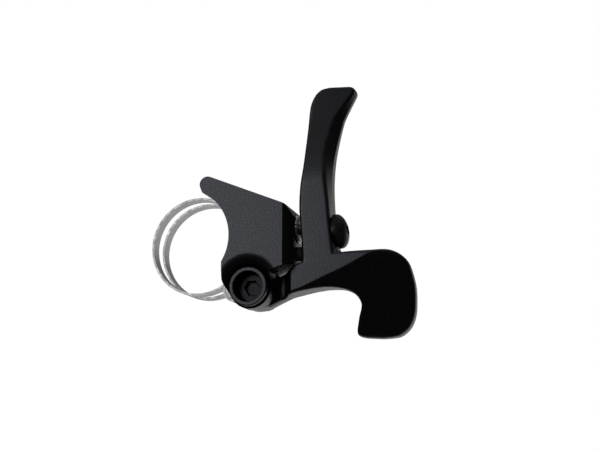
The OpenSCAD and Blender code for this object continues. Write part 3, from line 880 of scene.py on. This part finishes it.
@dataclass
class ThumbLever(SubAssembly):
    """The lever: hub, thumb blade and paddle, with the cable's anchor."""

    corner: tuple[float, float] = (0.03405, -0.0042)
    corner_radius: float = 0.0019
    corner_sink: float = 0.0006
    corner_depth: tuple[float, float] = (-0.0117, -0.0047)
    corner_steps: int = 8
    voxel: float = 0.00016
    soft_rounds: int = 5
    soft_share: float = 0.5
    kept_share: float = 0.4
    dome_edge: float = 0.0001

    def build(self) -> None:
        """Make the lever's skin and dress the cable anchor."""
        skin = self.skin()
        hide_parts("lever")
        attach(skin, "lever_arm")
        self.paint.coat(skin, Slot.LEVER)
        LOG.info("lever_skin: %d faces", len(skin.data.polygons))
        self.dress("cable_anchor_bolt", Slot.BOLT, self.dome_edge)
        self.dress("cable_anchor_washer", Slot.PIN)

    def skin(self) -> Object:
        """Make the milled lever as one skin with soft edges, in the form of its solid.

        Returns:
            The lever's skin.
        """
        mesh = self.nodes["lever"].data.copy()
        shell = bmesh.new()
        shell.from_mesh(mesh)
        self.fill_corner(shell)
        form = LeverForm()
        for rings in form.rings():
            skin_over(shell, [[form.place(p) for p in ring] for ring in rings])
        shell.to_mesh(mesh)
        shell.free()
        piece = add_object("lever_skin", mesh)
        whole = piece.modifiers.new("one_skin", "REMESH")
        whole.mode = "VOXEL"
        whole.voxel_size = self.voxel
        soft = piece.modifiers.new("soft_edges", "SMOOTH")
        soft.factor = self.soft_share
        soft.iterations = self.soft_rounds
        light = piece.modifiers.new("fewer_faces", "DECIMATE")
        light.ratio = self.kept_share
        ready = piece.evaluated_get(bpy.context.evaluated_depsgraph_get())
        piece.data = bpy.data.meshes.new_from_object(ready)
        piece.modifiers.clear()
        piece.data.name = "lever_skin"
        piece.data.polygons.foreach_set("use_smooth", [True] * len(piece.data.polygons))
        return piece

    def fill_corner(self, shell: bmesh.types.BMesh) -> None:
        """Add the fillet in the corner between the thumb blade and the arm.

        Args:
            shell: The lever's mesh, which gains the fillet.
        """
        x, z = self.corner
        r, sink = self.corner_radius, self.corner_sink
        n = self.corner_steps
        turns = [math.pi + 0.5 * math.pi * i / n for i in range(n + 1)]
        outline = [(x + r + r * math.cos(a), z + r + r * math.sin(a)) for a in turns]
        outline += [(x + r, z - sink), (x - sink, z - sink), (x - sink, z + r)]
        skin_over(shell, [[Vector((u, y, w)) for u, w in outline] for y in self.corner_depth])


@dataclass
class CableWay(SubAssembly):
    """The cable's outlet, its elbow, and the barrel adjuster at the inlet."""

    knob_edge: float = 0.0002
    line: tuple[float, float] = (-0.0082, 0.0019)
    seat: float = 0.0225
    mouth: float = 0.0255
    collar_r: float = 0.0032
    bore_r: float = 0.00134
    plain_share: float = 0.6
    lip: float = 0.00025
    lip_falls: tuple[float, float] = (0.4, 1.4)
    lip_ribbing: float = 0.6
    ribs: int = 22
    rib_depth: float = 0.00016
    turn_steps: int = 176

    def build(self) -> None:
        """Make the collar and dress the other pieces that the cable runs through."""
        collar = self.collar()
        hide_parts("outlet_collar")
        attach(collar, "perch")
        self.paint.coat(collar, Slot.COLLAR)
        self.dress("outlet_nose", Slot.NOSE)
        self.dress("cable_elbow", Slot.LINER, NO_EDGE)
        self.dress("barrel_adjuster", Slot.COLLAR, self.knob_edge)
        self.dress("adjuster_insert", Slot.INSERT)
        self.dress("adjuster_o_ring", Slot.PAD, NO_EDGE)

    def profile(self) -> tuple[tuple[float, float, float], ...]:
        """Draw the collar's profile, once round its wall.

        Returns:
            Points of place along the cable, radius, and share of the ribs' depth.
        """
        mouth, r, lip = self.mouth, self.collar_r, self.lip
        plain_to = self.seat + self.plain_share * (mouth - self.seat)
        first, second = (r - fall * lip for fall in self.lip_falls)
        return ((self.seat, self.bore_r, 0.0), (self.seat, r, 0.0), (plain_to, r, 0.0),
                (plain_to + lip, r, 1.0), (mouth - 2 * lip, r, 1.0),
                (mouth - lip, first, self.lip_ribbing), (mouth, second, 0.0),
                (mouth, self.bore_r + lip, 0.0), (mouth - lip, self.bore_r, 0.0))

    def collar(self) -> Object:
        """Make the ribbed collar at the cable's outlet.

        Returns:
            The collar.
        """
        y, z = self.line
        profile = self.profile()
        shell = bmesh.new()
        rows = []
        for k in range(self.turn_steps):
            a = 2 * math.pi * k / self.turn_steps
            dip = self.rib_depth * (1 - math.cos(self.ribs * a)) / 2
            rows.append([shell.verts.new((x, y + (out - ribbed * dip) * math.cos(a),
                                          z + (out - ribbed * dip) * math.sin(a)))
                         for x, out, ribbed in profile])
        for k, row in enumerate(rows):
            ahead = rows[(k + 1) % len(rows)]
            for i in range(len(profile)):
                j = (i + 1) % len(profile)
                shell.faces.new((row[i], row[j], ahead[j], ahead[i]))
        bmesh.ops.recalc_face_normals(shell, faces=shell.faces[:])
        mesh = bpy.data.meshes.new("outlet_collar_ribbed")
        shell.to_mesh(mesh)
        shell.free()
        mesh.polygons.foreach_set("use_smooth", [True] * len(mesh.polygons))
        piece = add_object("outlet_collar_ribbed", mesh)
        crisp = piece.modifiers.new("crisp_corners", "EDGE_SPLIT")
        crisp.split_angle = self.crease_angle
        return piece


@dataclass
class PhotoCamera:
    """The camera at the photograph's place, low and to the lever's side."""

    azimuth: float = math.radians(14.7)
    elevation: float = math.radians(-11.8)
    distance: float = 0.250
    aim_right: float = 0.0225
    aim_up: float = 0.00595
    lens: float = 63.0
    sensor: float = 36.0
    nearest: float = 0.01

    def build(self) -> Object:
        """Make the scene's camera.

        Returns:
            The camera.
        """
        level = math.cos(self.elevation)
        ahead = Vector((-math.sin(self.azimuth) * level, math.cos(self.azimuth) * level,
                        -math.sin(self.elevation)))
        right = Vector((math.cos(self.azimuth), math.sin(self.azimuth), 0.0))
        up = right.cross(ahead)
        data = bpy.data.cameras.new("photo_camera")
        data.lens = self.lens
        data.sensor_width = self.sensor
        data.clip_start = self.nearest
        camera = add_object("photo_camera", data)
        turn = Matrix((right, up, -ahead)).transposed().to_4x4()
        place = right * self.aim_right + up * self.aim_up - ahead * self.distance
        camera.matrix_world = Matrix.Translation(place) @ turn
        bpy.context.scene.camera = camera
        return camera


@dataclass
class Studio:
    """A white studio: a pale floor, a soft light in front, and a white wall behind.

    The world's lights are strengths. Its spans and its fade are parts of a
    ray's direction along +Y or +Z, where 1 is straight along it.
    """

    floor_z: float = -0.060
    floor_half: float = 1.5
    floor_grain: float = 0.004
    floor_shade: float = 0.97
    floor_roughness: float = 0.9
    floor_specular: float = 0.1
    key_size: float = 0.16
    key_power: float = 0.6
    key_from: Vector = field(default_factory=lambda: Vector((-0.175, -0.465, 0.0975)))
    fill_light: float = 0.5
    wall_light: float = 1.0
    wall_span: tuple[float, float] = (0.5, 0.85)
    wall_top: float = 0.15
    wall_fade: tuple[float, float] = (0.18, 0.34)
    roof_light: float = 0.5
    roof_span: tuple[float, float] = (0.45, 0.8)
    dark_light: float = 0.015

    def build(self) -> None:
        """Make the floor, the lamp and the world."""
        self.floor()
        self.key()
        self.world()

    def floor(self) -> Object:
        """Make the pale floor.

        Returns:
            The floor.
        """
        h, z = self.floor_half, self.floor_z
        mesh: Mesh = bpy.data.meshes.new("studio_floor")
        mesh.from_pydata([(-h, -h, z), (h, -h, z), (h, h, z), (-h, h, z)], [], [(0, 1, 2, 3)])
        floor = add_object("studio_floor", mesh)
        material, graph, shader = new_material("matt_floor")
        shade = tuple(self.floor_shade * c for c in PALE_GREY)
        graph.join(graph.mix(graph.noise(1 / self.floor_grain), PALE_GREY, shade),
                   shader.inputs["Base Color"])
        shader.inputs["Roughness"].default_value = self.floor_roughness
        shader.inputs["Specular IOR Level"].default_value = self.floor_specular
        mesh.materials.append(material)
        floor.visible_glossy = False
        return floor

    def key(self) -> Object:
        """Make the soft light at the front.

        Returns:
            The lamp.
        """
        lamp = bpy.data.lights.new("front_softbox", "AREA")
        lamp.shape = "RECTANGLE"
        lamp.size = self.key_size
        lamp.size_y = self.key_size
        lamp.energy = self.key_power
        key = add_object("front_softbox", lamp)
        key.location = self.key_from
        key.rotation_mode = "QUATERNION"
        key.rotation_quaternion = (-self.key_from).to_track_quat("-Z", "Y")
        key.visible_camera = False
        return key

    def mirrored(self, graph: Graph) -> NodeSocket:
        """Make what a reflection sees: a white wall behind, a roof, and dark elsewhere.

        Args:
            graph: The world's graph.

        Returns:
            The output that holds the strength.
        """
        place = graph.add("ShaderNodeTexCoord")
        split = graph.add("ShaderNodeSeparateXYZ")
        graph.join(place.outputs["Generated"], split.inputs["Vector"])
        behind = graph.remap(split.outputs["Y"], self.dark_light, self.wall_light, *self.wall_span)
        height = graph.remap(split.outputs["Z"], 1.0, self.wall_top, *self.wall_fade)
        wall = graph.add("ShaderNodeMath", operation="MULTIPLY")
        graph.join(behind, wall.inputs[0])
        graph.join(height, wall.inputs[1])
        roof = graph.remap(split.outputs["Z"], self.dark_light, self.roof_light, *self.roof_span)
        bright = graph.add("ShaderNodeMath", operation="MAXIMUM")
        graph.join(wall.outputs["Value"], bright.inputs[0])
        graph.join(roof, bright.inputs[1])
        return bright.outputs["Value"]

    def world(self) -> None:
        """Make the world: white to the camera, a soft fill, and what mirrors."""
        world = bpy.data.worlds.new("white_studio")
        bpy.context.scene.world = world
        world.use_nodes = True
        graph = Graph(world.node_tree)
        path = graph.add("ShaderNodeLightPath")
        lit = graph.add("ShaderNodeMix", data_type="FLOAT")
        lit.inputs["A"].default_value = self.fill_light
        graph.join(path.outputs["Is Glossy Ray"], lit.inputs["Factor"])
        graph.join(self.mirrored(graph), lit.inputs["B"])
        seen = graph.add("ShaderNodeMix", data_type="FLOAT")
        seen.inputs["B"].default_value = 1.0
        graph.join(path.outputs["Is Camera Ray"], seen.inputs["Factor"])
        graph.join(lit.outputs["Result"], seen.inputs["A"])
        background = graph.add("ShaderNodeBackground")
        background.inputs["Color"].default_value = (*PURE_WHITE, 1.0)
        graph.join(seen.outputs["Result"], background.inputs["Strength"])
        output = graph.add("ShaderNodeOutputWorld")
        graph.join(background.outputs["Background"], output.inputs["Surface"])


def main(nodes: dict[str, Object]) -> None:
    """Dress the part and set it in the studio.

    Args:
        nodes: The frame's objects by name.
    """
    logging.basicConfig(level=logging.INFO, format="%(name)s %(message)s")
    PhotoCamera().build()
    paint = Paintbox()
    for assembly in (HandlebarClamp, Perch, PivotStack, ThumbLever, CableWay):
        assembly(paint, nodes).build()
    Studio().build()
    bpy.context.scene.view_settings.view_transform = "Standard"


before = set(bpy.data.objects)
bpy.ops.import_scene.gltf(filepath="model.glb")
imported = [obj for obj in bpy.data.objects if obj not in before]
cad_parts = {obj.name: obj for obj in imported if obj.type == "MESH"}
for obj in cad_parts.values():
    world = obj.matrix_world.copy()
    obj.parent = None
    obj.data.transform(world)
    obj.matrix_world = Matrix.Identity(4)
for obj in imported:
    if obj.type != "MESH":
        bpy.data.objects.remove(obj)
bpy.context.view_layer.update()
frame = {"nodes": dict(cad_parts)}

if __name__ == "__main__":
    main(frame["nodes"])
